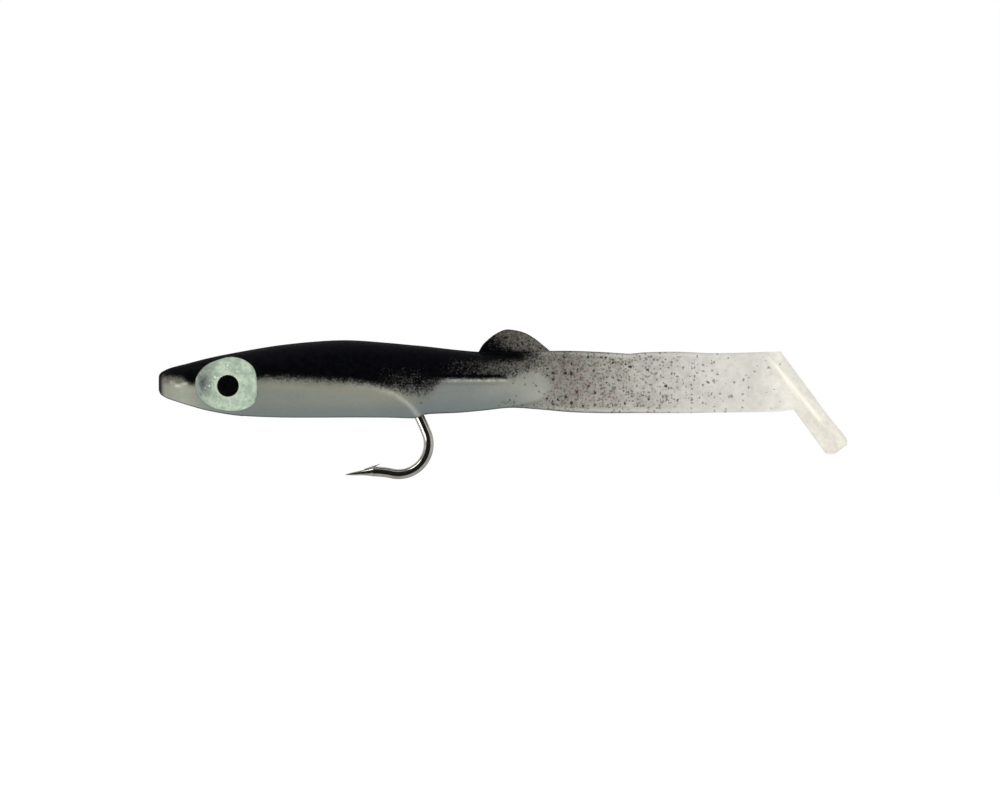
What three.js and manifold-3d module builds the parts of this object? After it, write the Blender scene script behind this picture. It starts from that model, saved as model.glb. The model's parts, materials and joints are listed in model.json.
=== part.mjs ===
// A soft eel-shaped swimbait, rigged on a single hook: a hollow soft body with a lead keel in its belly,
// a thin deep tail blade and a crosswise paddle, and two raised luminous eyes.
// Millimetres. The nose points to -X, the tail runs along +X, +Z is up, and XZ is the plane of symmetry.
// The origin is the mouth of the line hole in the nose. Places in the plane of symmetry are [x, z].

import * as THREE from 'three';
import { LoftGeometry } from 'three/addons/geometries/LoftGeometry.js';
import { mergeVertices } from 'three/addons/utils/BufferGeometryUtils.js';
import Module from 'manifold-3d';

const wasm = await Module();
wasm.setup();

// ---------- driving dimensions ----------

const gap = 0.3; // clearance between pieces that touch on the real lure

const frontEnd = 44.0; // the front of the body stops where the hook leaves the belly
const rearStart = 45.0;
const rearEnd = 66.1;
const bladeStart = 66.7;
const bladeSplit = 85.0; // the tail blade flexes here, half way along
const bladeSplitGap = 0.5;

const lineHoleRadius = 0.7;
const lineHoleDepth = 14.5;

const wireRadius = 0.82; // a wire of about 1.65 mm, as on a 4/0 hook
const eyeCentre = [15.9, 0.5];
const eyeRingRadius = 1.45;
const eyeWireRadius = 0.6;
const bendCentre = [40.06, -10.22];
const bendRadius = 5.04;
const pointRoot = [35.9, -14.8];
const pointTip = [31.1, -15.35];

const slotHalfWidth = 1.2; // the belly slot that the shank swings out of
const keelInset = 1.7; // how far the lead stays inside the skin
const eyeProud = 0.5; // the eye pads stand out of the cheeks by this much
const eyeSeat = 0.55; // and are let into them by this much
const eyeInnerEdge = 1.4; // where they wrap round the top of the head they stop this far from the middle
const pupilCentre = [11.46, -0.49];
const pupilRadius = 1.76;

const paddleTop = [103.9, 5.28]; // the upper rear corner of the paddle
const paddleSlant = THREE.MathUtils.degToRad(36); // how far the paddle leans back from upright
const paddleLength = 19.2;
const paddleDepth = 3.9; // seen from the side, from its front edge to its rear edge
const paddleHingeGap = 0.6;

const finBase = 5.7;
const finThickness = 1.0;

const ringSides = 24;
const ringStep = 1.8; // between the cross-sections of the body
const bladeStep = 3.5; // and of the blade, which changes little

// ---------- the shape of the soft body ----------

// [distance from the nose, top, bottom] of the side view, then of the thick core with its half width.
const frontCore = [
  [0.0, 1.7, -1.6, 1.35],
  [0.6, 2.15, -2.4, 1.85],
  [1.7, 2.6, -2.9, 2.15],
  [4.7, 3.35, -3.85, 2.55],
  [8.4, 4.2, -4.7, 3.15],
  [13.4, 5.2, -5.5, 4.0],
  [20.0, 6.3, -5.85, 4.5],
  [27.0, 7.0, -5.85, 4.75],
  [32.0, 7.15, -5.85, 4.8],
  [38.5, 6.7, -5.85, 4.6],
  [44.0, 6.2, -5.95, 4.2],
];
const rearCore = [
  [45.0, 6.1, -5.2, 4.15],
  [50.0, 5.5, -4.95, 3.75],
  [54.0, 4.9, -4.5, 3.3],
  [58.8, 4.2, -3.9, 2.8],
  [62.5, 3.2, -3.2, 2.2],
  [65.0, 1.9, -2.3, 1.5],
  [66.1, 0.8, -1.3, 0.8],
];
const rearOutline = [
  [45.0, 6.1, -5.2],
  [50.0, 5.55, -5.0],
  [54.0, 5.2, -4.65],
  [58.8, 5.25, -4.16],
  [63.7, 5.35, -4.45],
  [66.7, 5.35, -4.75],
  [73.7, 5.2, -5.04],
  [78.8, 4.9, -5.04],
  [84.0, 5.15, -5.04],
  [92.0, 5.0, -4.98],
  [103.9, 5.3, -4.75],
  [108.0, 5.3, -4.3],
];
const bladeHalfThickness = [
  [45.0, 0.85],
  [66.7, 0.85],
  [80.0, 0.78],
  [108.0, 0.7],
];

// A smooth curve through the stations, read at any distance from the nose.
function curveThrough(stations) {
  const distances = stations.map((station) => station[0]);
  const values = stations.flatMap((station) => station.slice(1));
  const curve = new THREE.CubicInterpolant(distances, values, stations[0].length - 1);
  return (x) => [...curve.evaluate(x)];
}

const frontCoreAt = curveThrough(frontCore);
const rearCoreAt = curveThrough(rearCore);
const rearOutlineAt = curveThrough(rearOutline);
const bladeAt = curveThrough(bladeHalfThickness);

const coreRoundness = 2.4; // 2 is an ellipse, more is boxier
const bladeRoundness = 8;
const blendPower = 3; // how softly the core runs into the blade

function roundedWidth(z, top, bottom, halfWidth, roundness) {
  const fromMiddle = Math.abs(z - (top + bottom) / 2) / ((top - bottom) / 2);
  return fromMiddle >= 1 ? 0 : halfWidth * (1 - fromMiddle ** roundness) ** (1 / roundness);
}

// One closed ring of the body, widthAt(z) being its half width at a height.
function ring(x, top, bottom, widthAt) {
  const points = [];
  for (let i = 0; i < ringSides; i++) {
    const angle = (i / ringSides) * 2 * Math.PI;
    const z = (top + bottom) / 2 + ((top - bottom) / 2) * Math.sin(angle);
    const side = Math.sign(Math.round(Math.cos(angle) * 1e6));
    points.push(new THREE.Vector3(x, side * widthAt(z), z));
  }
  return points;
}

// The front of the body, made bigger all round by grow, or smaller where it is negative.
function frontRing(x, grow) {
  const [coreTop, coreBottom, coreHalfWidth] = frontCoreAt(x);
  const top = coreTop + grow;
  const bottom = coreBottom - grow;
  return ring(x, top, bottom, (z) => roundedWidth(z, top, bottom, coreHalfWidth + grow, coreRoundness));
}

// The rear of the body: the core sinks into the blade, which carries on alone behind it.
function rearRing(x) {
  const [top, bottom] = rearOutlineAt(x);
  const [halfThickness] = bladeAt(x);
  const core = x <= rearEnd ? rearCoreAt(x) : [1, -1, 0];
  return ring(x, top, bottom, (z) => {
    const blade = roundedWidth(z, top, bottom, halfThickness, bladeRoundness);
    return (blade ** blendPower + roundedWidth(z, ...core, coreRoundness) ** blendPower) ** (1 / blendPower);
  });
}

function loft(from, to, ringAt, step) {
  const count = Math.ceil((to - from) / step);
  const rings = [];
  for (let i = 0; i <= count; i++) {
    rings.push(ringAt(from + ((to - from) * i) / count));
  }
  return solid(new LoftGeometry(rings, { capStart: true, capEnd: true }));
}

// ---------- solids ----------

function solid(geometry) {
  const bare = new THREE.BufferGeometry().copy(geometry);
  bare.deleteAttribute('normal');
  bare.deleteAttribute('uv');
  const merged = mergeVertices(bare, 1e-4);
  const mesh = new wasm.Mesh({
    numProp: 3,
    vertProperties: new Float32Array(merged.attributes.position.array),
    triVerts: new Uint32Array(merged.index.array),
  });
  return new wasm.Manifold(mesh);
}

function toGeometry(body) {
  const mesh = body.getMesh();
  const geometry = new THREE.BufferGeometry();
  geometry.setAttribute('position', new THREE.BufferAttribute(mesh.vertProperties, 3));
  geometry.setIndex(new THREE.BufferAttribute(mesh.triVerts, 1));
  geometry.computeVertexNormals();
  return geometry;
}

// A side-view outline in x and z, given a width from y = from to y = to.
function plate(shape, from, to) {
  const geometry = new THREE.ExtrudeGeometry(shape, {
    depth: to - from,
    bevelEnabled: false,
    curveSegments: 6,
  });
  geometry.rotateX(Math.PI / 2);
  geometry.translate(0, to, 0);
  return solid(geometry);
}

// A round peg along Y, at a place in the plane of symmetry.
function peg([x, z], radius, from, to) {
  const geometry = new THREE.CylinderGeometry(radius, radius, to - from, 24);
  geometry.translate(x, (from + to) / 2, z);
  return solid(geometry);
}

// An outline of a smooth closed curve through a few points.
function roundOutline(points) {
  const curve = new THREE.CatmullRomCurve3(
    points.map(([x, z]) => new THREE.Vector3(x, z, 0)),
    true,
    'centripetal',
  );
  return new THREE.Shape(curve.getPoints(points.length * 3).slice(0, -1));
}

// ---------- front body, eyes and keel ----------

const eyeOutline = [
  [6.1, 1.0],
  [7.5, 2.8],
  [9.6, 3.75],
  [11.9, 4.35],
  [14.3, 3.7],
  [15.85, 2.2],
  [16.2, 0.0],
  [16.15, -2.3],
  [15.3, -3.75],
  [13.4, -4.5],
  [11.1, -4.5],
  [9.0, -3.85],
  [7.1, -2.3],
  [6.1, -0.5],
];

// The same outline moved outwards from the pupil by an amount.
function grownEyeOutline(amount) {
  return eyeOutline.map(([x, z]) => {
    const out = new THREE.Vector2(x - pupilCentre[0], z - pupilCentre[1]);
    out.setLength(out.length() + amount);
    return [pupilCentre[0] + out.x, pupilCentre[1] + out.y];
  });
}

const frontSkin = (grow, from = 0, to = frontEnd) => loft(from, to, (x) => frontRing(x, grow), ringStep);
const cheek = (grow) => frontSkin(grow, 5, 18);

// One raised pad, on the side where y is positive.
function eyePad() {
  const outline = plate(roundOutline(eyeOutline), eyeInnerEdge, 6);
  const shell = cheek(eyeProud).subtract(cheek(-eyeSeat));
  const pocket = peg(pupilCentre, pupilRadius + gap, 3.75, 6);
  return shell.intersect(outline).subtract(pocket);
}

function pupil() {
  return peg(pupilCentre, pupilRadius, 3.75 + gap, 6).intersect(cheek(eyeProud + 0.1));
}

function eyeSocket() {
  const outline = plate(roundOutline(grownEyeOutline(gap)), eyeInnerEdge - gap, 6);
  return outline.subtract(cheek(-eyeSeat - gap));
}

function mirrored(body) {
  return body.mirror([0, 1, 0]);
}

// The slot follows the shank, opens all along the belly, and runs out of the end of the front body.
function slotShape() {
  const shape = new THREE.Shape();
  shape.moveTo(13.6, -9);
  shape.lineTo(13.3, -0.4);
  shape.absarc(eyeCentre[0], eyeCentre[1], 2.7, Math.PI * 1.1, Math.PI * 0.5, true);
  shape.bezierCurveTo(17.5, 3.2, 18, 1.65, 20, 1.6);
  shape.lineTo(36, 1.15);
  shape.bezierCurveTo(40.5, 1.0, 43.6, -1.4, 45, -5);
  shape.lineTo(45, -9);
  return shape;
}

const keelOutline = [
  [20.0, -1.5],
  [20.6, 1.8],
  [23.5, 2.9],
  [30.0, 2.8],
  [36.0, 2.5],
  [40.2, 0.9],
  [41.9, -2.2],
  [41.6, -4.6],
  [38.0, -5.6],
  [28.0, -5.6],
  [21.5, -4.9],
];

// The lead is an upside-down U over the shank, its sides following the skin.
function keelWeight(room) {
  const outline = keelOutline.map(([x, z]) => {
    const out = new THREE.Vector2(x - 31, z + 1.5);
    out.setLength(out.length() + room);
    return [31 + out.x, out.y - 1.5];
  });
  return plate(roundOutline(outline), -6, 6).intersect(frontSkin(room - keelInset, 15, 43));
}

function lineHole() {
  const geometry = new THREE.CylinderGeometry(lineHoleRadius, lineHoleRadius, lineHoleDepth, 16);
  geometry.rotateZ(Math.PI / 2);
  geometry.translate(lineHoleDepth / 2 - 1, 0, 0);
  return solid(geometry);
}

const slot = plate(slotShape(), -slotHalfWidth, slotHalfWidth);

function frontBody() {
  let body = frontSkin(0).subtract(slot).subtract(keelWeight(gap)).subtract(lineHole());
  const socket = eyeSocket();
  body = body.subtract(socket).subtract(mirrored(socket));
  return body;
}

// ---------- hook ----------

// The shank runs back from the eye, turns down out of the belly and round the bend to the point.
function hookPath() {
  const path = new THREE.Path();
  path.moveTo(eyeCentre[0] + eyeRingRadius, eyeCentre[1]);
  path.lineTo(36, -0.17);
  path.bezierCurveTo(39.5, -0.3, 41.9, -2.0, 43.4, -5.36);
  const startAngle = THREE.MathUtils.degToRad(26);
  const endAngle = THREE.MathUtils.degToRad(-104);
  path.quadraticCurveTo(
    44.3,
    -7.2,
    bendCentre[0] + bendRadius * Math.cos(startAngle),
    bendCentre[1] + bendRadius * Math.sin(startAngle),
  );
  path.absarc(bendCentre[0], bendCentre[1], bendRadius, startAngle, endAngle, true);
  path.lineTo(...pointRoot);
  const points = path.getSpacedPoints(48).map((point) => new THREE.Vector3(point.x, 0, point.y));
  return new THREE.CatmullRomCurve3(points);
}

function hook() {
  const section = new THREE.Shape();
  section.absarc(0, 0, wireRadius, 0, 2 * Math.PI);
  const wire = new THREE.ExtrudeGeometry(section, {
    steps: 44,
    curveSegments: 6,
    extrudePath: hookPath(),
  });

  const ring = new THREE.TorusGeometry(eyeRingRadius, eyeWireRadius, 8, 20);
  ring.rotateX(Math.PI / 2);
  ring.translate(eyeCentre[0], 0, eyeCentre[1]);

  // The point tapers from the wire to a sharp tip.
  const root = new THREE.Vector3(pointRoot[0], 0, pointRoot[1]);
  const tip = new THREE.Vector3(pointTip[0], 0, pointTip[1]);
  const along = tip.clone().sub(root);
  const profile = [
    new THREE.Vector2(0, -0.4),
    new THREE.Vector2(wireRadius, -0.4),
    new THREE.Vector2(wireRadius * 0.95, 0.4),
    new THREE.Vector2(wireRadius * 0.45, along.length() * 0.55),
    new THREE.Vector2(0, along.length()),
  ];
  const point = new THREE.LatheGeometry(profile, 12);
  point.applyQuaternion(new THREE.Quaternion().setFromUnitVectors(THREE.Object3D.DEFAULT_UP, along.normalize()));
  point.translate(root.x, 0, root.z);

  // The barb is a sliver raised from the top of the point, leaning back over the bend.
  const barb = new THREE.Shape();
  barb.moveTo(34.6, -14.7);
  barb.lineTo(37.0, -13.5);
  barb.lineTo(36.3, -14.6);

  return solid(wire).add(solid(ring)).add(solid(point)).add(plate(barb, -0.35, 0.35));
}

// ---------- rear body, tail and fin ----------

const paddleDown = new THREE.Vector3(Math.sin(paddleSlant), 0, -Math.cos(paddleSlant));
const paddleBack = new THREE.Vector3(Math.cos(paddleSlant), 0, Math.sin(paddleSlant));

// A point of the paddle: how far down it, how far behind its rear edge, and how far to the side.
function onPaddle(down, back, side) {
  const point = new THREE.Vector3(paddleTop[0], side, paddleTop[1]);
  return point.addScaledVector(paddleDown, down).addScaledVector(paddleBack, back);
}

// Everything ahead of the slanted hinge line between the blade and the paddle.
function aheadOfPaddle() {
  const size = 60;
  const box = new THREE.BoxGeometry(size, size, size);
  box.rotateY(-paddleSlant);
  const centre = onPaddle(0, -paddleDepth - paddleHingeGap - size / 2, 0);
  box.translate(centre.x, 0, centre.z);
  return solid(box);
}

function bladeFront() {
  return loft(bladeStart, bladeSplit - bladeSplitGap / 2, rearRing, bladeStep);
}

function bladeRear() {
  return loft(bladeSplit + bladeSplitGap / 2, 108, rearRing, bladeStep).intersect(aheadOfPaddle());
}

// [distance down the paddle, half width of its flanges]
const paddleFlange = curveThrough([
  [-3.2, 1.2],
  [0.0, 1.7],
  [5.0, 2.8],
  [10.0, 3.7],
  [14.0, 4.1],
  [17.0, 3.6],
  [18.5, 2.5],
  [paddleLength, 1.1],
]);

// A rib that carries on from the blade, with a flange on each side swept back like an arrow head.
function paddleRing(down) {
  const [reach] = paddleFlange(down);
  const roundEnd = Math.max(0, down - paddleLength + 1.6);
  const shorter = roundEnd ** 2 * 0.55;
  const ribHalf = bladeAt(108)[0];
  const front = -paddleDepth + shorter;
  const outline = [
    [front, ribHalf * 0.6],
    [front + 0.35, ribHalf],
    [-2.0, ribHalf],
    [-1.7, ribHalf + 0.3],
    [-0.6, reach - 0.2],
    [-shorter * 0.3 - 0.1, reach],
    [-0.75, 0.25],
  ];
  const left = outline.map(([back, side]) => onPaddle(down, back, side));
  const right = outline.map(([back, side]) => onPaddle(down, back, -side)).reverse();
  return [...left, ...right];
}

function paddle() {
  const body = loft(-3.2, paddleLength, paddleRing, ringStep);
  const above = new THREE.BoxGeometry(30, 20, 10);
  above.translate(paddleTop[0], 0, paddleTop[1] + 5);
  return body.subtract(solid(above));
}

function dorsalFin() {
  const shape = new THREE.Shape();
  shape.moveTo(53.5, finBase);
  shape.splineThru([
    new THREE.Vector2(54.3, 6.9),
    new THREE.Vector2(56.1, 8.3),
    new THREE.Vector2(58.3, 8.95),
    new THREE.Vector2(61.2, 8.35),
    new THREE.Vector2(63.6, 7.0),
    new THREE.Vector2(65.3, finBase),
  ]);
  return plate(shape, -finThickness / 2, finThickness / 2);
}

// ---------- the lure ----------

const looks = {
  darkBack: { color: 0x14141a, roughness: 0.45, metalness: 0 },
  greyBody: { color: 0x5d625f, roughness: 0.45, metalness: 0 },
  clearTail: { color: 0xd4d1c8, roughness: 0.35, metalness: 0 },
  luminous: { color: 0xbccab0, roughness: 0.4, metalness: 0 },
  black: { color: 0x08080a, roughness: 0.3, metalness: 0 },
  nickel: { color: 0xc9c6bb, roughness: 0.12, metalness: 1 },
  lead: { color: 0x6b6c70, roughness: 0.6, metalness: 1 },
};

const lure = new THREE.Group();

function addPiece(name, body, look) {
  const mesh = new THREE.Mesh(toGeometry(body), new THREE.MeshStandardMaterial(looks[look]));
  mesh.name = name;
  lure.add(mesh);
}

addPiece('front_body', frontBody(), 'darkBack');
addPiece('keel_weight', keelWeight(0).subtract(slot), 'lead');
addPiece('hook', hook(), 'nickel');
addPiece('right_eye', eyePad(), 'luminous');
addPiece('left_eye', mirrored(eyePad()), 'luminous');
addPiece('right_pupil', pupil(), 'black');
addPiece('left_pupil', mirrored(pupil()), 'black');
addPiece('rear_body', loft(rearStart, rearEnd, rearRing, ringStep), 'greyBody');
addPiece('dorsal_fin', dorsalFin(), 'greyBody');
addPiece('tail_blade_front', bladeFront(), 'clearTail');
addPiece('tail_blade_rear', bladeRear(), 'clearTail');
addPiece('tail_paddle', paddle(), 'clearTail');

export default lure;
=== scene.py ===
# A soft sand-eel swimbait on one hook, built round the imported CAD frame.
# Sizes in the dictionaries are millimetres from the mouth of the line hole in the nose,
# x towards the tail, z up through the back; the meshes are in metres.

import json
import math

import bmesh
import bpy
from mathutils import Matrix, Vector, noise


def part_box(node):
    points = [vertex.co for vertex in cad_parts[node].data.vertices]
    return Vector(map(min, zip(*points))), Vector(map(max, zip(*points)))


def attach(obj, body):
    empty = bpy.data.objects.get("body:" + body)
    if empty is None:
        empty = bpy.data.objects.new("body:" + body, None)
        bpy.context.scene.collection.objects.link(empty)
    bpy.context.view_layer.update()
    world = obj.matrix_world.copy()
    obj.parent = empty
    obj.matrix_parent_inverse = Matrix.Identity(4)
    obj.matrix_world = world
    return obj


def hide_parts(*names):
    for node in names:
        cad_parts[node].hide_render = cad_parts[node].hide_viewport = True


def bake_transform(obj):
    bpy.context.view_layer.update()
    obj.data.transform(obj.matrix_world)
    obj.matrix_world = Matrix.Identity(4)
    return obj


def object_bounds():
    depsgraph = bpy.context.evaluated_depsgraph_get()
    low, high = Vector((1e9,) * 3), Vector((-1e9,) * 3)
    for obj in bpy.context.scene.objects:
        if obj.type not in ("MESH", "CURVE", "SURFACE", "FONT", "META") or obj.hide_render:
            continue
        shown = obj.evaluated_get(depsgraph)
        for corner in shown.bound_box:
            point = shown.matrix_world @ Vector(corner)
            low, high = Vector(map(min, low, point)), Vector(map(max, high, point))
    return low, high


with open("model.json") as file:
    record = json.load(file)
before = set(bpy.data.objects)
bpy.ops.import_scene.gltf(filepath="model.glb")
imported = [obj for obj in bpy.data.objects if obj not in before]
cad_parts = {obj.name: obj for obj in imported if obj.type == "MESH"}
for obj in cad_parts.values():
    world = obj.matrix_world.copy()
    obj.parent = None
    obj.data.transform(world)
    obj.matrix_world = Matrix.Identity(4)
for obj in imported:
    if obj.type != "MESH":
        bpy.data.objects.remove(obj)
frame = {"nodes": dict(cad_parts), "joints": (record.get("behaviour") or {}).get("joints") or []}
cadLow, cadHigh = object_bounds()
mm = 0.001


def jointPlace(name):
    joint = next(j for j in frame["joints"] if j["name"] == name)
    return Vector(joint["pos_m"]) / mm


def smooth(low, high, value):
    t = min(1.0, max(0.0, (value - low) / (high - low)))
    return t * t * (3 - 2 * t)


def window(start, end, soft, value):
    return smooth(start - soft, start + soft, value) * (1 - smooth(end - soft, end + soft, value))


def bell(middle, width, value):
    return math.exp(-(((value - middle) / width) ** 2))


# a smooth curve through rows of [distance, value, ...]
def along(rows, x):
    if x <= rows[0][0]:
        return list(rows[0][1:])
    if x >= rows[-1][0]:
        return list(rows[-1][1:])
    i = max(k for k in range(len(rows) - 1) if rows[k][0] <= x)
    a, b = rows[i], rows[i + 1]
    before = rows[i - 1] if i else a
    after = rows[i + 2] if i + 2 < len(rows) else b
    span = b[0] - a[0]
    t = (x - a[0]) / span
    values = []
    for k in range(1, len(a)):
        slopeA = (b[k] - before[k]) / (b[0] - before[0]) * span
        slopeB = (after[k] - a[k]) / (after[0] - a[0]) * span
        values.append(
            a[k] * (2 * t**3 - 3 * t**2 + 1)
            + slopeA * (t**3 - 2 * t**2 + t)
            + b[k] * (3 * t**2 - 2 * t**3)
            + slopeB * (t**3 - t**2)
        )
    return values


# colours are written as a paint maker's 0 to 255 values
def tone(red, green, blue):
    parts = [c / 255 for c in (red, green, blue)]
    return [c / 12.92 if c <= 0.04045 else ((c + 0.055) / 1.055) ** 2.4 for c in parts] + [1.0]


# camera: a long lens square on to the lure's left side

view = {
    "lens": 200,
    "sensor": 36,
    "lureShareOfWidth": 0.686,  # how much of the picture's width the lure fills
    "aimBelowNose": 2.85,
    "aimAheadOfMiddle": 0.35,
}


def makeCamera():
    length = (cadHigh - cadLow).x
    halfAngle = math.atan(view["sensor"] / 2 / view["lens"])
    distance = length / view["lureShareOfWidth"] / 2 / math.tan(halfAngle)
    lens = bpy.data.cameras.new("sideCamera")
    lens.lens = view["lens"]
    lens.sensor_width = view["sensor"]
    lens.clip_end = 20
    camera = bpy.data.objects.new("sideCamera", lens)
    bpy.context.collection.objects.link(camera)
    middle = (cadLow.x + cadHigh.x) / 2 - view["aimAheadOfMiddle"] * mm
    camera.location = (middle, -distance, -view["aimBelowNose"] * mm)
    camera.rotation_euler = (math.radians(90), 0, 0)
    bpy.context.scene.camera = camera


makeCamera()
print("camera set")


# small helpers for node trees

# an input takes a number, a colour or another node's output
def feed(tree, socket, part):
    if isinstance(part, bpy.types.NodeSocket):
        tree.links.new(part, socket)
    else:
        socket.default_value = part


def addNode(tree, kind, settings=None, inputs=None):
    made = tree.nodes.new("ShaderNode" + kind)
    for name, value in (settings or {}).items():
        setattr(made, name, value)
    for name, part in (inputs or {}).items():
        feed(tree, made.inputs[name], part)
    return made


def calc(tree, operation, *parts):
    return addNode(tree, "Math", {"operation": operation}, dict(enumerate(parts))).outputs[0]


def scaledBy(tree, vector, size):
    return addNode(tree, "VectorMath", {"operation": "SCALE"}, {0: vector, "Scale": size}).outputs[0]


def axesOf(tree, place):
    return addNode(tree, "SeparateXYZ", inputs={0: place}).outputs


def rampOf(tree, source, stops):
    made = addNode(tree, "ValToRGB", inputs={"Fac": source})
    elements = made.color_ramp.elements
    while len(elements) < len(stops):
        elements.new(0.5)
    for element, (place, colour) in zip(elements, stops):
        element.position = place
        element.color = colour
    return made.outputs["Color"]


def spread(tree, source, low, high, toLow=0.0, toHigh=1.0):
    inputs = {"Value": source, "From Min": low, "From Max": high, "To Min": toLow, "To Max": toHigh}
    return addNode(tree, "MapRange", {"interpolation_type": "SMOOTHSTEP"}, inputs).outputs["Result"]


def mixed(tree, factor, under, over):
    return addNode(tree, "Mix", {"data_type": "RGBA"}, {0: factor, 6: under, 7: over}).outputs[2]


def noiseOf(tree, place, scale, detail=2.0, roughness=0.5):
    inputs = {"Vector": place, "Scale": scale, "Detail": detail, "Roughness": roughness}
    return addNode(tree, "TexNoise", {"noise_dimensions": "3D"}, inputs).outputs["Fac"]


def attributeOf(tree, name, output="Fac"):
    settings = {"attribute_type": "GEOMETRY", "attribute_name": name}
    return addNode(tree, "Attribute", settings).outputs[output]


def startGroup(name, ins, outs):
    group = bpy.data.node_groups.new(name, "ShaderNodeTree")
    for title, kind, default in ins:
        made = group.interface.new_socket(name=title, in_out="INPUT", socket_type="NodeSocket" + kind)
        if default is not None:
            made.default_value = default
    for title in outs:
        group.interface.new_socket(name=title, in_out="OUTPUT", socket_type="NodeSocketFloat")
    return group, group.nodes.new("NodeGroupInput").outputs, group.nodes.new("NodeGroupOutput").inputs


# pepper flakes cast into the vinyl, scattered over a flat place: x along, y up
def makePepperGroup():
    group, given, result = startGroup(
        "pepperFlakes",
        [
            ("Place", "Vector", None),
            ("Spacing", "Float", 1.0),
            ("Share", "Float", 0.3),
            ("Flake Size", "Float", 0.2),
        ],
        ["Mask", "Tint"],
    )
    place = given["Place"]
    wobble = addNode(
        group, "TexNoise", {"noise_dimensions": "2D"}, {"Vector": place, "Scale": 2.3, "Detail": 2.0}
    )
    shift = scaledBy(group, wobble.outputs["Color"], 0.6)
    moved = addNode(group, "VectorMath", {"operation": "ADD"}, {0: place, 1: shift})
    cells = addNode(
        group,
        "TexVoronoi",
        {"voronoi_dimensions": "2D", "feature": "F1"},
        {"Vector": moved.outputs[0], "Scale": calc(group, "DIVIDE", 1.0, given["Spacing"])},
    )
    chance, bigness, tint = addNode(group, "SeparateColor", inputs={0: cells.outputs["Color"]}).outputs
    size = calc(group, "MULTIPLY", given["Flake Size"], calc(group, "ADD", bigness, 0.45))
    dot = spread(group, cells.outputs["Distance"], calc(group, "MULTIPLY", size, 0.5), size, 1.0, 0.0)
    chosen = spread(group, calc(group, "SUBTRACT", given["Share"], chance), 0.0, 0.03)
    feed(group, result["Mask"], calc(group, "MULTIPLY", dot, chosen))
    feed(group, result["Tint"], tint)
    return group


# the faint orange peel of a cast surface, as a height
def makeGrainGroup():
    group, given, result = startGroup(
        "castGrain", [("Place", "Vector", None), ("Fineness", "Float", 3.0)], ["Height", "Wear"]
    )
    fineness = given["Fineness"]
    broad = noiseOf(group, given["Place"], fineness, 3.0, 0.55)
    fine = noiseOf(group, given["Place"], calc(group, "MULTIPLY", fineness, 5.0), 2.0, 0.6)
    feed(group, result["Height"], calc(group, "MULTIPLY_ADD", fine, 0.35, broad))
    feed(group, result["Wear"], broad)
    return group


pepperGroup = makePepperGroup()
grainGroup = makeGrainGroup()


def useGroup(tree, group, inputs):
    return addNode(tree, "Group", {"node_tree": group}, inputs).outputs


def startMaterial(name, shading):
    made = bpy.data.materials.new(name)
    made.use_nodes = True
    shader = made.node_tree.nodes["Principled BSDF"]
    for title, value in shading.items():
        shader.inputs[title].default_value = value
    return made, made.node_tree, shader.inputs


# object coordinates in millimetres, for the rigid pieces
def objectPlace(tree):
    return scaledBy(tree, addNode(tree, "TexCoord").outputs["Object"], 1 / mm)


# uneven roughness and a fine bump; returns how worn each spot is
def addGrain(tree, surface, place, grain, dents=0.0):
    made = useGroup(tree, grainGroup, {"Place": place, "Fineness": grain["fineness"]})
    height = calc(tree, "MULTIPLY_ADD", dents, -0.25, made["Height"])
    bump = addNode(tree, "Bump", inputs={"Distance": grain["depth"] * mm, "Height": height})
    feed(tree, surface["Normal"], bump.outputs[0])
    feed(tree, surface["Roughness"], spread(tree, made["Wear"], 0.3, 0.7, *grain["rough"]))
    return made["Wear"]


vinyl = {
    "length": 115.0,
    "underTones": [  # the cast vinyl's own colour from nose to tail: distance, red, green, blue
        (0.0, 132, 133, 122),
        (4.0, 152, 156, 141),
        (9.0, 128, 134, 122),
        (17.0, 116, 123, 114),
        (35.0, 124, 130, 121),
        (44.0, 112, 119, 116),
        (52.0, 118, 124, 120),
        (58.0, 136, 139, 130),
        (64.0, 157, 158, 149),
        (67.5, 136, 132, 126),
        (71.0, 154, 151, 143),
        (77.0, 173, 170, 162),
        (84.0, 193, 191, 183),
        (93.0, 209, 206, 199),
        (100.0, 214, 211, 203),
        (104.0, 229, 225, 216),
        (115.0, 234, 229, 217),
    ],
    "black": tone(2, 2, 5),
    "blackSheen": tone(6, 7, 13),
    "olive": tone(74, 72, 66),
    "beige": tone(134, 129, 114),
    "brown": tone(76, 70, 62),
    "lowBelly": tone(98, 107, 108),
    # the colour of the painted shade along the rims
    "edge": tone(58, 62, 64),
    "speck": tone(30, 27, 26),
    "speckBrown": tone(96, 72, 68),
    "speckGreen": tone(74, 80, 70),
    "mauve": tone(122, 105, 101),
    "greenish": tone(134, 141, 130),
    # the colour of the painted highlights
    "pale": tone(206, 205, 192),
    # the colour of the painted glints on the lips and the painted highlight on the paddle's fold
    "paintedShine": tone(255, 252, 238),
    "smallFlakes": {"Spacing": 0.48, "Flake Size": 0.42},
    "largeFlakes": {"Spacing": 1.0, "Flake Size": 0.25},
    "grain": {"fineness": 1.4, "rough": (0.42, 0.6), "depth": 0.035},
}


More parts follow.
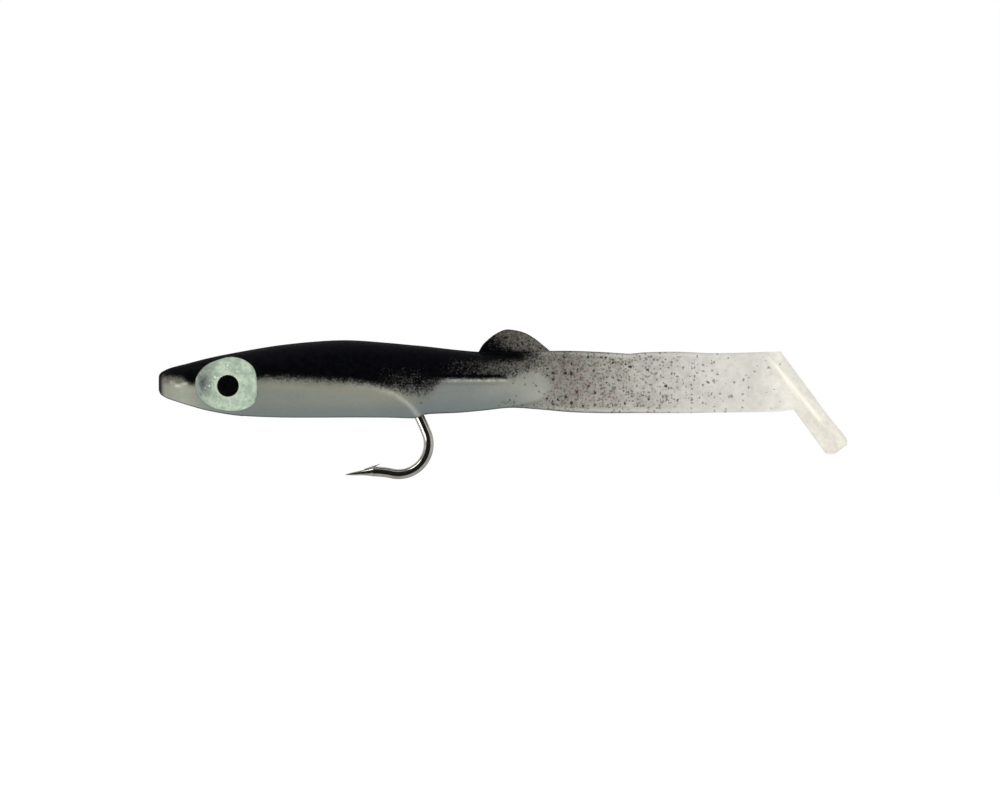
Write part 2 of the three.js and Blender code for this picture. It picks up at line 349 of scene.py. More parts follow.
def makeVinyl():
    made, tree, surface = startMaterial("speckledVinyl", {"Specular IOR Level": 0.06})
    place = attributeOf(tree, "place", "Vector")
    flat = attributeOf(tree, "flat", "Vector")
    speck = attributeOf(tree, "speck")

    def times(a, b):
        return calc(tree, "MULTIPLY", a, b)

    def plus(a, b):
        return calc(tree, "ADD", a, b)

    def washed(colour, names):
        for name, over in names.items():
            colour = mixed(tree, attributeOf(tree, name), colour, vinyl[over])
        return colour

    length = vinyl["length"]
    stops = [(x / length, tone(*colour)) for x, *colour in vinyl["underTones"]]
    colour = rampOf(tree, calc(tree, "DIVIDE", axesOf(tree, place)["X"], length), stops)

    # cloudy unevenness inside the vinyl, stronger where flakes are thick
    cloud = noiseOf(tree, place, 0.35, 3.0)
    colour = mixed(tree, spread(tree, cloud, 0.35, 0.7, 0.0, 0.12), colour, vinyl["lowBelly"])
    mottle = noiseOf(tree, place, 1.7, 3.0, 0.6)
    tint = mixed(tree, spread(tree, mottle, 0.42, 0.58), vinyl["mauve"], vinyl["greenish"])
    patchy = spread(tree, noiseOf(tree, place, 0.9, 5.0, 0.75), 0.34, 0.68, 0.05, 0.95)
    colour = mixed(tree, times(calc(tree, "MAXIMUM", speck, 0.2), patchy), colour, tint)
    # washes from the values on the mesh: the low belly, the beige band, brown smoke with painted shade,
    # and pale painted highlights
    colour = washed(colour, {"low": "lowBelly", "band": "beige", "smokeAndShade": "brown", "pale": "pale"})

    small = useGroup(tree, pepperGroup, {"Place": flat, "Share": speck, **vinyl["smallFlakes"]})
    largeShare = times(speck, 0.46)
    large = useGroup(tree, pepperGroup, {"Place": flat, "Share": largeShare, **vinyl["largeFlakes"]})
    greener = spread(tree, small["Tint"], 0.3, 0.6)
    smallTone = mixed(tree, greener, vinyl["speckBrown"], vinyl["speckGreen"])
    colour = mixed(tree, times(small["Mask"], 0.68), colour, smallTone)
    sunk = spread(tree, speck, 0.0, 0.5, 0.5, 0.9)  # flakes lie deeper where they are few
    colour = mixed(tree, times(large["Mask"], sunk), colour, vinyl["speck"])

    # the black back, sprayed on: grainy at its edge, thinning out to dapples towards the tail
    mist = noiseOf(tree, place, 1.1, 3.0, 0.6)
    dust = noiseOf(tree, place, 3.4, 2.0, 0.6)
    grainy = plus(times(mist, 1.3), times(dust, 1.9))
    edge = plus(attributeOf(tree, "paint"), plus(grainy, -1.6))
    inside = spread(tree, edge, -0.75, 0.85)
    coat = attributeOf(tree, "coat")
    dapple = plus(times(mist, 1.2), times(dust, 2.4))
    thick = spread(tree, plus(coat, plus(dapple, -2.3)), -0.55, 0.6)
    veil = times(inside, spread(tree, coat, 0.0, 0.9))
    haze = times(spread(tree, edge, -1.7, 0.2), spread(tree, coat, 0.3, 1.2, 0.0, 0.55))
    colour = mixed(tree, haze, colour, vinyl["brown"])
    colour = mixed(tree, veil, colour, vinyl["olive"])
    black = mixed(tree, spread(tree, mist, 0.3, 0.75), vinyl["black"], vinyl["blackSheen"])
    colour = mixed(tree, times(inside, thick), colour, black)
    # painted rim shade, painted glints and highlight, and the darker places, from the values on the mesh
    colour = washed(colour, {"edge": "edge", "paintedShine": "paintedShine", "dark": "black"})
    feed(tree, surface["Base Color"], colour)
    addGrain(tree, surface, place, vinyl["grain"], large["Mask"])
    return made


luminous = {
    "pale": tone(184, 199, 176),
    "shade": tone(152, 171, 152),
    "facet": tone(74, 77, 84),
    "ring": tone(196, 207, 184),
    "fleck": tone(108, 120, 110),
    # the colour of the glints painted on the pad
    "paintedSparkle": tone(240, 245, 236),
    "flecks": {"Spacing": 0.5, "Share": 0.42, "Flake Size": 0.3},
    "glintFlecks": {"Spacing": 0.42, "Share": 0.6, "Flake Size": 0.36},
    "grain": {"fineness": 1.8, "rough": (0.32, 0.5), "depth": 0.04},
}


def makeLuminous():
    made, tree, surface = startMaterial("luminousPlastic", {"Specular IOR Level": 0.3})
    place = objectPlace(tree)
    axes = axesOf(tree, place)
    flat = addNode(tree, "CombineXYZ", inputs={"X": axes["X"], "Y": axes["Z"]}).outputs[0]
    cloud = noiseOf(tree, place, 0.9, 4.0, 0.6)
    colour = mixed(tree, spread(tree, cloud, 0.35, 0.65), luminous["shade"], luminous["pale"])
    flecks = useGroup(tree, pepperGroup, {"Place": flat, **luminous["flecks"]})
    glintFlecks = useGroup(tree, pepperGroup, {"Place": flat, **luminous["glintFlecks"]})
    colour = mixed(tree, calc(tree, "MULTIPLY", flecks["Mask"], 0.4), colour, luminous["fleck"])
    uneven = spread(tree, noiseOf(tree, place, 1.3, 4.0, 0.7), 0.3, 0.7, 0.8, 1.1)
    facet = calc(tree, "MULTIPLY", attributeOf(tree, "facet"), uneven)
    colour = mixed(tree, facet, colour, luminous["facet"])
    colour = mixed(tree, attributeOf(tree, "ring"), colour, luminous["ring"])
    # white flecks painted as glints at a few spots on the pad
    paintedSparkle = calc(tree, "MULTIPLY", glintFlecks["Mask"], attributeOf(tree, "paintedSparkle"))
    feed(tree, surface["Base Color"], mixed(tree, paintedSparkle, colour, luminous["paintedSparkle"]))
    addGrain(tree, surface, place, luminous["grain"])
    return made


plainSurfaces = {
    "pupilBlack": {
        "shading": {"Specular IOR Level": 0.05},
        "tones": (tone(1, 1, 2), tone(7, 7, 9)),
        "worn": (0.3, 0.7),
        "grain": {"fineness": 2.5, "rough": (0.45, 0.6), "depth": 0.01},
    },
    "nickelPlate": {
        "shading": {"Metallic": 1.0},
        "tones": (tone(226, 223, 214), tone(204, 198, 186)),
        "worn": (0.35, 0.7),
        "grain": {"fineness": 1.1, "rough": (0.1, 0.2), "depth": 0.002},
    },
    "castLead": {
        "shading": {"Metallic": 1.0},
        "tones": (tone(92, 94, 98), tone(140, 142, 146)),
        "worn": (0.3, 0.7),
        "grain": {"fineness": 1.3, "rough": (0.45, 0.65), "depth": 0.08},
    },
}


def makePlain(name):
    look = plainSurfaces[name]
    made, tree, surface = startMaterial(name, look["shading"])
    wear = addGrain(tree, surface, objectPlace(tree), look["grain"])
    feed(tree, surface["Base Color"], mixed(tree, spread(tree, wear, *look["worn"]), *look["tones"]))
    return made


vinylMaterial = makeVinyl()
luminousMaterial = makeLuminous()
pupilMaterial, nickelMaterial, leadMaterial = [makePlain(name) for name in plainSurfaces]
print("materials made")


# mesh helpers

def turnOf(i, sides):
    return 2 * math.pi * i / sides


# which flank a ring's vertex is on: 0 at the very top and the very bottom
def flankOf(i, sides):
    return 0 if i % (sides // 2) == sides // 4 else math.copysign(1, math.cos(turnOf(i, sides)))


# one more ring of vertices and edges, drawn out of the last one
def growRing(bm, edges):
    grown = bmesh.ops.extrude_edge_only(bm, edges=edges)["geom"]
    verts = [g for g in grown if isinstance(g, bmesh.types.BMVert)]
    around = set(verts)
    return verts, [g for g in grown if isinstance(g, bmesh.types.BMEdge) and set(g.verts) <= around]


# a ring drawn out through one place after another; returns the edges of its two ends
def sweep(bm, sides, places, pointAt):
    layer = bm.verts.layers.int.new("around")
    ring = bmesh.ops.create_circle(bm, segments=sides, radius=1.0)["verts"]
    for i, vert in enumerate(ring):
        vert[layer] = i
        vert.co = pointAt(places[0], i) * mm
    first = edges = list({e for v in ring for e in v.link_edges})
    for place in places[1:]:
        verts, edges = growRing(bm, edges)
        for vert in verts:
            vert.co = pointAt(place, vert[layer]) * mm
    return first, edges


# a flat face over an end ring, with a hard edge round it
def closeEnd(bm, edges):
    face = bmesh.ops.contextual_create(bm, geom=edges)["faces"][0]
    face.smooth = False
    for edge in edges:
        edge.smooth = False


def toObject(name, bm, material):
    bmesh.ops.remove_doubles(bm, verts=bm.verts, dist=1e-6)
    bmesh.ops.dissolve_degenerate(bm, dist=1e-6, edges=bm.edges)
    bmesh.ops.recalc_face_normals(bm, faces=bm.faces)
    mesh = bpy.data.meshes.new(name)
    for face in bm.faces:
        if len(face.verts) <= 4:
            face.smooth = True
    bm.to_mesh(mesh)
    bm.free()
    mesh.materials.append(material)
    made = bpy.data.objects.new(name, mesh)
    bpy.context.collection.objects.link(made)
    return made


def addValues(made, name, valueAt):
    attribute = made.data.attributes.new(name, "FLOAT", "POINT")
    values = [float(valueAt(*(v.co / mm))) for v in made.data.vertices]
    attribute.data.foreach_set("value", values)


# the soft moulding: body, tail blade, fin and paddle

moulding = {
    "outline": [  # distance, back, belly
        [0.0, 1.3, -1.35], [0.15, 1.55, -1.72], [0.4, 1.8, -2.03], [1.1, 2.2, -2.48],
        [2.05, 2.58, -2.85], [4.7, 3.25, -3.7], [8.4, 4.2, -4.7], [13.4, 5.2, -5.5],
        [20.0, 6.3, -5.82], [27.0, 7.0, -5.85], [32.0, 7.15, -5.83], [38.5, 6.7, -5.86],
        [42.4, 6.33, -5.97], [43.3, 6.26, -5.85], [44.6, 6.13, -5.3], [46.0, 5.97, -5.17],
        [50.0, 5.52, -5.0], [54.0, 5.2, -4.65], [58.8, 5.25, -4.17], [63.7, 5.35, -4.45],
        [68.7, 5.38, -4.88], [73.7, 5.2, -5.05], [77.0, 5.0, -5.07], [78.8, 4.9, -5.05],
        [81.0, 5.12, -5.05], [87.0, 5.22, -5.05], [92.2, 5.0, -4.98], [98.0, 5.08, -4.9],
        [103.9, 5.28, -4.75], [109.0, 5.28, -4.2],
    ],
    # half width of the thick core at the outline's first rows, where it fills the outline
    "coreHalf": [1.25, 1.5, 1.72, 1.98, 2.2, 2.55, 3.15, 4.0, 4.5, 4.75, 4.8, 4.6, 4.34, 4.28, 4.18, 4.1],
    "coreRear": [  # behind them: distance, top, bottom and half width
        [50.0, 5.45, -4.95, 3.75], [54.0, 4.9, -4.5, 3.3], [58.8, 4.2, -3.9, 2.8],
        [62.5, 3.2, -3.15, 2.2], [65.0, 2.1, -2.3, 1.5], [66.4, 0.9, -1.2, 0.75],
        [66.9, 0.2, -0.5, 0.0], [69.0, 0.2, -0.5, 0.0],
    ],
    "blade": [  # distance, half thickness of the thin blade
        [0.0, 0.0], [44.0, 0.0], [50.0, 0.8], [66.7, 0.83], [80.0, 0.78], [109.0, 0.7],
    ],
    "coreRoundness": 2.4,
    "bladeRoundness": 8,
    "blendPower": 3,
    "sides": 144,
    "step": 0.5,
    "bladeStep": 0.8,
    "noseSteps": [0.0, 0.05, 0.12, 0.22, 0.36, 0.55, 0.8],
    "noseEnd": 1.15,
    "seams": [55.0, 75.0, 94.0],
    "bladeRim": 0.08,
    "farSideShift": 40,  # sets the far side's flakes apart from the near side's
    "bends": {  # how far each bend spreads ahead of its hinge and behind it
        "body_bend": (-3.5, 7.5),
        "tail_bend": (-4.2, 7.5),
        "blade_bend": (-7.5, 7.5),
    },
}
coreRows = [row + [half] for row, half in zip(moulding["outline"], moulding["coreHalf"])]
coreRows += moulding["coreRear"]

mouth = {
    "height": 0.12,
    "from": 0.9,
    "corner": 4.4,
    "depth": 0.26,
    "width": 0.2,
    # where glints are painted on the lips
    "glints": [(3.3, -0.5), (2.3, 0.1), (4.4, -0.1)],
}
lineHole = {"radius": 0.7, "depth": 3.6, "flare": 0.14}
ridge = {"height": 0.34, "from": 46.2, "to": 58.0, "proud": 0.2, "width": 0.16, "hollow": 0.1}
slot = {
    "halfWidth": 1.3,
    "from": 14.1,
    "to": 44.45,
    "ceiling": [
        [14.1, 0.6], [15.2, 2.9], [17.6, 2.9], [19.6, 1.75], [36.0, 1.3], [39.5, 0.9], [42.0, -0.6],
        [43.4, -2.4], [44.45, -3.6],
    ],
    "wall": 0.05,  # thickness of the slot's steep front and rear walls
    "corners": 6,  # how many ring vertices to each side the slot's profile uses
}


def roundedWidth(z, top, bottom, halfWidth, roundness):
    half = (top - bottom) / 2
    away = abs(z - (top + bottom) / 2) / half
    return 0.0 if away >= 1 or halfWidth <= 0 else halfWidth * (1 - away**roundness) ** (1 / roundness)


def skinWidth(x, z):
    top, bottom = along(moulding["outline"], x)
    coreTop, coreBottom, coreHalf = along(coreRows, x)
    blade = roundedWidth(z, top, bottom, along(moulding["blade"], x)[0], moulding["bladeRoundness"])
    if blade > 0 and x > 60:
        middle = (top + bottom) / 2
        nearEdge = abs(z - middle) / ((top - bottom) / 2)
        blade += moulding["bladeRim"] * bell(0.93, 0.05, nearEdge) * smooth(60, 68, x)
    core = roundedWidth(z, coreTop, coreBottom, coreHalf, moulding["coreRoundness"])
    power = moulding["blendPower"]
    return (blade**power + core**power) ** (1 / power)


# the mouth's gap and the ridge along the flank
def relief(x, z):
    out = 0.0
    deep = mouth["depth"] * window(mouth["from"], mouth["corner"], 0.3, x)
    out -= deep * bell(mouth["height"], mouth["width"], z)
    withinRidge = window(ridge["from"], ridge["to"], 0.7, x)
    out += ridge["proud"] * withinRidge * bell(ridge["height"], ridge["width"], z)
    out -= ridge["hollow"] * withinRidge * bell(ridge["height"] - 0.55, 0.3, z)
    return out


def skinPoint(x, i):
    sides = moulding["sides"]
    top, bottom = along(moulding["outline"], x)
    z = (top + bottom) / 2 + (top - bottom) / 2 * math.sin(turnOf(i, sides))
    y = flankOf(i, sides) * (skinWidth(x, z) + relief(x, z))
    fromKeel = i - 3 * sides // 4
    if slot["from"] <= x <= slot["to"] and abs(fromKeel) <= slot["corners"]:
        return slotPoint(x, fromKeel, bottom)
    return Vector((x, y, z))


# inside the slot the ring climbs one lip, crosses the ceiling and comes down the other
def slotPoint(x, fromKeel, bottom):
    half = slot["halfWidth"] * (0.25 + 0.75 * smooth(slot["from"] - 0.5, slot["from"] + 1.6, x))
    ceiling = along(slot["ceiling"], x)[0]
    lipTop = bottom + 0.14
    profile = [
        (0.0, ceiling),
        (half * 0.75, ceiling),
        (half, ceiling - 0.4),
        (half, (ceiling + lipTop) / 2),
        (half, lipTop + 0.25),
        (half + 0.05, lipTop),
        (half + 0.2, lipTop - 0.09),
    ]
    y, z = profile[abs(fromKeel)]
    return Vector((x, math.copysign(y, fromKeel) if fromKeel else 0.0, z))


def steps(start, end, step):
    count = max(1, math.ceil((end - start) / step))
    return [start + (end - start) * k / count for k in range(count + 1)]


paintEdge = [  # distance, height of the edge of the black back, how soft it is
    [0.0, 1.15, 0.55], [3.2, 1.0, 0.6], [4.2, 0.75, 0.6], [5.2, 0.0, 0.6], [6.6, -0.1, 0.6],
    [9.0, 0.6, 0.6], [16.0, 0.75, 0.7], [20.0, 0.85, 0.8], [25.0, 0.6, 0.9], [30.0, 0.3, 0.85],
    [34.0, 0.05, 0.75], [37.0, -0.4, 0.8], [40.0, -0.9, 1.3], [42.6, -1.3, 1.8], [44.4, -1.0, 1.8],
    [46.0, -0.4, 1.5], [47.3, 0.45, 0.7], [48.2, 0.7, 0.42], [57.0, 0.72, 0.42], [59.0, 1.0, 0.8],
    [62.0, 2.0, 1.2], [66.0, 3.1, 1.3], [74.0, 4.7, 0.9], [84.0, 5.6, 0.6],
]
coatStrength = [  # distance, how thick the black is sprayed
    [0.0, 1.9], [33.0, 1.9], [38.0, 1.05], [42.0, 0.8], [46.0, 1.1], [50.0, 0.95], [54.0, 0.72],
    [58.0, 0.5], [62.0, 0.38], [66.0, 0.2], [74.0, 0.08], [84.0, 0.0],
]
speckStrength = [  # distance, share of the spots that hold a flake
    [0.0, 0.0], [37.0, 0.0], [41.0, 0.04], [45.0, 0.08], [54.0, 0.25], [60.0, 0.6], [66.5, 0.95],
    [74.0, 0.82], [80.0, 0.6], [88.0, 0.31], [96.0, 0.14], [102.0, 0.06], [106.0, 0.0],
    [110.0, 0.0],
]
leadEdge = [  # the edge of the lead, with a painted highlight along it as a pale arc through the belly: distance, height
    [29.0, -0.2], [34.6, -0.5], [36.8, -0.9], [38.5, -1.5], [39.7, -2.0], [40.7, -2.7],
    [41.6, -3.4], [42.5, -4.3], [43.3, -5.4],
]
leadPath = [[x] + along(leadEdge, x) for x in steps(leadEdge[0][0], leadEdge[-1][0], 0.12)]


def paintAt(x, y, z):
    edge, soft = along(paintEdge, x)
    return (z - edge) / soft


def coatAt(x, y, z):
    strength = along(coatStrength, x)[0]
    if 36 < x < 70:
        top = along(moulding["outline"], x)[0]
        behind = smooth(44, 50, x)
        high = (1 - behind) * smooth(0.3, 3.9, z) + behind * smooth(top - 2.2, top - 0.4, z)
        strength += (coatStrength[0][1] - strength) * 0.65 * high * window(37, 61.5, 3.5, x)
        strength += 1.1 * bell(1.0, 0.26, z) * window(46.6, 57.6, 0.8, x)
    return strength


def speckAt(x, y, z):
    strength = along(speckStrength, x)[0]
    if 44 < x < 68:
        rear = smooth(56, 60, x)
        flank = max(smooth(0.4, 2.4, z), rear * smooth(1.8, 3.4, -z))
        core = flank if x < 60 else smooth(0.0, 1.6, math.hypot(x - 60, (z + 0.7) * 1.7) - 4.7)
        strength *= 0.03 + 0.07 * rear + 0.9 * core
    top, bottom = along(moulding["outline"], x)
    if x > 62:
        rim = max(bell(top - 0.45, 0.3, z), bell(bottom + 0.45, 0.4, z))
        strength *= 1 - 0.8 * rim * smooth(62, 66, x)
    return strength


def bandAt(x, y, z):
    edge = along(paintEdge, x)[0]
    return 0.55 * bell(edge - 1.4, 0.9, z) * window(17, 43, 3, x)


def lowAt(x, y, z):
    bottom = along(moulding["outline"], x)[1]
    return 0.7 * (1 - smooth(bottom + 0.2, bottom + 3.4, z)) * window(9, 62, 6, x)


# painted highlights: a pale arc along the lead's edge, a broken line on the flank ridge and lines inside
# the blade's rims
def paintedHighlightAt(x, y, z):
    pale = 0.0
    if 29 < x < 44.5:
        nearest = min(math.hypot(x - row[0], z - row[1]) for row in leadPath)
        width = 0.5 - 0.14 * smooth(37, 41, x)
        pale = (0.14 + 0.2 * smooth(35, 39, x)) * bell(0, width, nearest) * smooth(30, 34, x)
    # a painted highlight along the flank ridge, broken up by noise
    broken = 0.5 + 0.9 * noise.noise(Vector((x * 1.3, 5.0, 2.0)))
    line = broken * bell(ridge["height"] + 0.08, 0.15, z) * window(ridge["from"], ridge["to"], 0.8, x)
    pale = max(pale, 0.95 * line)
    top, bottom = along(moulding["outline"], x)
    # painted highlights just inside the blade's top and bottom rims
    if x > 64:
        rim = max(0.22 * bell(top - 0.45, 0.22, z), 0.3 * bell(bottom + 0.5, 0.3, z))
        pale = max(pale, rim * smooth(64, 68, x) * (1 - smooth(90, 101, x)))
    return pale


# painted shade: a dark strip along the belly's underside and along the top edge of the tail's root
def rimShadeAt(x, y, z):
    top, bottom = along(moulding["outline"], x)
    below = 0.8 * (1 - smooth(0.02, 0.34, z - bottom))
    above = 0.8 * smooth(60, 66, x) * (1 - smooth(0.0, 0.22, top - z))
    return max(below, above) * (1 - smooth(66, 101, x))


# painted glints on the lips near the mouth
def paintedShineAt(x, y, z):
    if x > 8:
        return 0.0
    glints = [math.hypot((x - a) * 0.8, (z - b) * 1.5) for a, b in mouth["glints"]]
    return sum(0.42 * bell(0, 0.36, away) for away in glints)


# brown smoke in the vinyl, with painted shade in the creases where the core meets the blade and in a line
# under the flank ridge
def smokeAndShadeAt(x, y, z):
    coreTop, coreBottom = along(coreRows, x)[:2]
    creaseShade = max(bell(coreBottom - 0.25, 0.3, z), bell(coreTop + 0.35, 0.4, z)) * window(58.5, 66, 1.5, x)
    lips = 0.72 * bell(0.7, 0.72, z) * window(0.9, 5.6, 0.7, x)
    uneven = max(0.0, noise.noise(Vector((x * 1.9, z * 0.5, 1.0))))
    streaks = (0.16 + 0.7 * uneven) * window(55.5, 62.5, 1.2, x)
    shadeUnderRidge = 0.22 * bell(-0.12, 0.22, z) * window(46.5, 57.5, 1.0, x)
    smudge = 0.4 * bell(3.75, 0.3, z) * window(57.5, 62.5, 1.0, x)
    tail = 0.25 * window(62, 73, 4, x) * smooth(-4.0, 4.0, z)
    return max(tail, 0.32 * creaseShade, lips, streaks * window(0.4, 3.6, 0.8, z), shadeUnderRidge, smudge)


# darker places: painted shade in the mouth's gap and inside the belly slot, the black cheek patch, and
# the nose's front
def darkAt(x, y, z):
    gap = bell(mouth["height"], 0.17, z) * window(1.4, mouth["corner"], 0.5, x)
    lips = 0.3 * gap * smooth(1, 1.6, abs(y))
    noseFront = 0.92 * (1 - smooth(0.3, 1.0, x))
    cheekPatch = 0.7 * window(4.9, 6.4, 0.6, x) * window(-0.3, 2.0, 0.7, z)
    inSlot = abs(y) < slot["halfWidth"] + 0.03 and z < 3
    slotShade = 0.75 * window(slot["from"], slot["to"], 0.2, x) * inSlot
    return max(lips, noseFront, cheekPatch, slotShade)


skinValues = {
    "paint": paintAt,
    "coat": coatAt,
    "speck": speckAt,
    "band": bandAt,
    "low": lowAt,
    "pale": paintedHighlightAt,
    "edge": rimShadeAt,
    "paintedShine": paintedShineAt,
    "smokeAndShade": smokeAndShadeAt,
    "dark": darkAt,
}


def addPlaces(made, name, placeAt):
    attribute = made.data.attributes.new(name, "FLOAT_VECTOR", "POINT")
    values = [c for v in made.data.vertices for c in placeAt(*(v.co / mm))]
    attribute.data.foreach_set("vector", values)


# the values are stored on the mesh, so the colours stay put while the vinyl bends
def skinObject(name, bm, ownValues=None):
    made = toObject(name, bm, vinylMaterial)
    addPlaces(made, "place", lambda x, y, z: (x, y, z))
    addPlaces(made, "flat", lambda x, y, z: (x + (moulding["farSideShift"] if y > 0 else 0), z, 0))
    for title, valueAt in {**skinValues, **(ownValues or {})}.items():
        addValues(made, title, valueAt)
    return made


def sweptSkin(name, sides, places, pointAt, ownValues=None):
    bm = bmesh.new()
    for edges in sweep(bm, sides, places, pointAt):
        closeEnd(bm, edges)
    return skinObject(name, bm, ownValues)


# head and shoulders: from the line hole to the first seam
def makeFrontSkin():
    radius, flare, wall = lineHole["radius"], lineHole["flare"], slot["wall"]
    hole = [(lineHole["depth"], radius * 0.92), (0.16, radius), (0.04, radius + flare * 0.4)]
    hole += [(0.0, radius + flare)]
    skin = moulding["noseSteps"] + steps(moulding["noseEnd"], slot["from"] - wall, moulding["step"])
    skin += steps(slot["from"], slot["to"], moulding["step"])
    skin += steps(slot["to"] + wall, moulding["seams"][0], moulding["step"])

    # a place is a distance in the hole with its radius, or a distance along the skin with none
    def pointAt(place, i):
        x, holeRadius = place
        if holeRadius is None:
            return skinPoint(x, i)
        angle = turnOf(i, moulding["sides"])
        return Vector((x, holeRadius * math.cos(angle), holeRadius * math.sin(angle)))

    places = hole + [(x, None) for x in skin]
    made = sweptSkin("front_skin", moulding["sides"], places, pointAt)
    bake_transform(made)
    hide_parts("front_body", "rear_body")


def makeBladeSkin(name, seam, step, replaced):
    places = steps(*moulding["seams"][seam : seam + 2], step)
    made = sweptSkin(name, moulding["sides"], places, skinPoint)
    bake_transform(made)
    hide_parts(replaced)


makeFrontSkin()
makeBladeSkin(
    "tail_root_skin", 0, moulding["step"], "tail_blade_front"
)
makeBladeSkin(
    "tail_blade_skin", 1, moulding["bladeStep"], "tail_blade_rear"
)
print("body skin made")


# paddle: a rib that carries the blade on, with a flange each side swept back

paddle = {
    "slant": 36.0,
    "top": (103.9, 5.28),
    "length": 19.2,
    "depth": 3.85,
    "flare": 0.35,
    "topSlope": 0.06,
    "ribHalf": 0.6,
    "webEnd": -1.35,  # where the blade's end is buried in the flanges
    "webStep": 0.06,  # as a share of the web's length
    "webBend": (-6.2, -2.2),
    "flange": [  # distance down, half width
        [-3.4, 1.1], [0.0, 1.7], [5.0, 2.8], [10.0, 3.65], [14.0, 4.05], [16.6, 3.75], [18.2, 2.95],
        [18.9, 2.0], [19.2, 1.2],
    ],
    "sides": 64,
    "step": 0.5,
}
slant = math.radians(paddle["slant"])
paddleDown = Vector((math.sin(slant), 0, -math.cos(slant)))
paddleBack = Vector((math.cos(slant), 0, math.sin(slant)))
paddleTop = Vector((paddle["top"][0], 0, paddle["top"][1]))


def onPaddle(down, back, side):
    return paddleTop + paddleDown * down + paddleBack * back + Vector((0, side, 0))


# a smooth closed curve through points, read at i of count
def roundCurve(points, count, i):
    n = len(points)
    place = i / count * n
    k = int(place)
    t = place - k
    p0, p1, p2, p3 = (Vector(points[(k + j - 1) % n]) for j in range(4))
    return (
        p1
        + (p2 - p0) * 0.5 * t
        + (p0 * 2 - p1 * 5 + p2 * 4 - p3) * 0.5 * t * t
        + (p1 * 3 - p2 * 3 + p3 - p0) * 0.5 * t**3
    )


def paddleSection(down):
    reach = along(paddle["flange"], down)[0]
    end = max(0.0, down - paddle["length"] + 1.2)
    shorter = 0.75 * end * end
    flare = paddle["flare"] * smooth(12.5, paddle["length"], down)
    rib = paddle["ribHalf"]
    front = -paddle["depth"] + shorter
    half = [
        (front, rib * 0.45),
        (front + 0.22, rib * 0.92),
        (front + 0.9, rib),
        (-2.45, rib + 0.03),
        (-2.0, rib + 0.16),
        (-1.78, rib + 0.5),
        (-1.78 + 0.55 * (reach - rib) / 3.5, (rib + reach) / 2 + 0.1),
        (-0.5 + flare - shorter * 0.7, reach - 0.12),
        (-0.22 + flare - shorter * 0.65, reach),
        (-0.02 + flare - shorter * 0.6, reach - 0.1),
        (-0.38 + flare * 0.7 - shorter * 0.3, reach * 0.6),
        (-0.72 + flare * 0.5 - shorter * 0.25, reach * 0.22),
    ]
    return half + [(back, -side) for back, side in reversed(half)]


def downAndBack(x, z):
    away = Vector((x, 0, z)) - paddleTop
    return away.dot(paddleDown), away.dot(paddleBack)


# a painted highlight along the fold where the flanges leave the rib, as if it caught the light
def foldHighlightAt(x, y, z):
    down, back = downAndBack(x, z)
    fold = -2.05 + 0.045 * down
    return 0.85 * bell(fold, 0.3, back) * window(0.6, 13.5, 1.6, down)


# painted shade along the paddle's front and back edges and its end
def paddleRimShadeAt(x, y, z):
    down, back = downAndBack(x, z)
    rim = max(1 - smooth(0, 0.3, back + paddle["depth"]), smooth(-0.55, 0.1, back))
    return 0.12 * max(rim, smooth(paddle["length"] - 0.5, paddle["length"], down))


def evenly(value):
    return lambda x, y, z: value


def makePaddle():
    bm = bmesh.new()
    sections = {}

    def pointAt(down, i):
        if down not in sections:
            sections[down] = paddleSection(down)
        back, side = roundCurve(sections[down], paddle["sides"], i)
        return onPaddle(down, back, side)

    downs = steps(paddle["flange"][0][0], paddle["length"] - 1.5, paddle["step"])
    downs += steps(paddle["length"] - 1.3, paddle["length"], 0.2)
    for edges in sweep(bm, paddle["sides"], downs, pointAt):
        closeEnd(bm, edges)
    cut = bmesh.ops.bisect_plane(
        bm,
        geom=bm.verts[:] + bm.edges[:] + bm.faces[:],
        plane_co=paddleTop * mm,
        plane_no=(-paddle["topSlope"], 0, 1),
        clear_outer=True,
    )
    closeEnd(bm, [g for g in cut["geom_cut"] if isinstance(g, bmesh.types.BMEdge)])
    values = {"paint": evenly(-3.0), "coat": evenly(0.0), "edge": paddleRimShadeAt, "paintedShine": foldHighlightAt}
    made = skinObject("paddle_skin", bm, values)
    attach(made, "paddle")
    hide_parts("tail_paddle")


# the blade's last stretch runs out along the paddle's slant
def makeWebSkin():
    start = moulding["seams"][-1]
    onLine = onPaddle(0, paddle["webEnd"], 0)

    # the skin's height at a place sets how far back the slanted end is, so a few rounds settle both
    def pointAt(share, i):
        x = start
        for _ in range(3):
            point = skinPoint(x, i)
            end = onLine.x + (onLine.z - point.z) * math.tan(slant)
            x = start + share * (end - start)
        return Vector((x, point.y, point.z))

    places = steps(0, 1, paddle["webStep"])
    paintedShine = {"paintedShine": foldHighlightAt}
    made = sweptSkin("tail_web_skin", moulding["sides"], places, pointAt, paintedShine)
    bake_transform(made)


makePaddle()
makeWebSkin()
print("paddle made")


# dorsal fin: a thin soft leaf that spreads into the back

fin = {
    "top": [  # distance, height of its edge
        [53.2, 4.75], [53.6, 5.5], [54.1, 6.35], [54.9, 7.15], [56.1, 8.1], [57.8, 8.9],
        [59.2, 8.88], [61.2, 8.38], [62.9, 7.4], [64.4, 6.2], [65.5, 5.25], [66.0, 4.75],
    ],
    "base": 4.7,
    "halfThickness": [[4.7, 0.72], [5.3, 0.56], [6.0, 0.42], [7.5, 0.3], [9.0, 0.2]],  # height, size
    "bend": (-0.4, 0.9),  # how far the fold spreads below its hinge and above it
    "sides": 40,
    "step": 0.3,
}


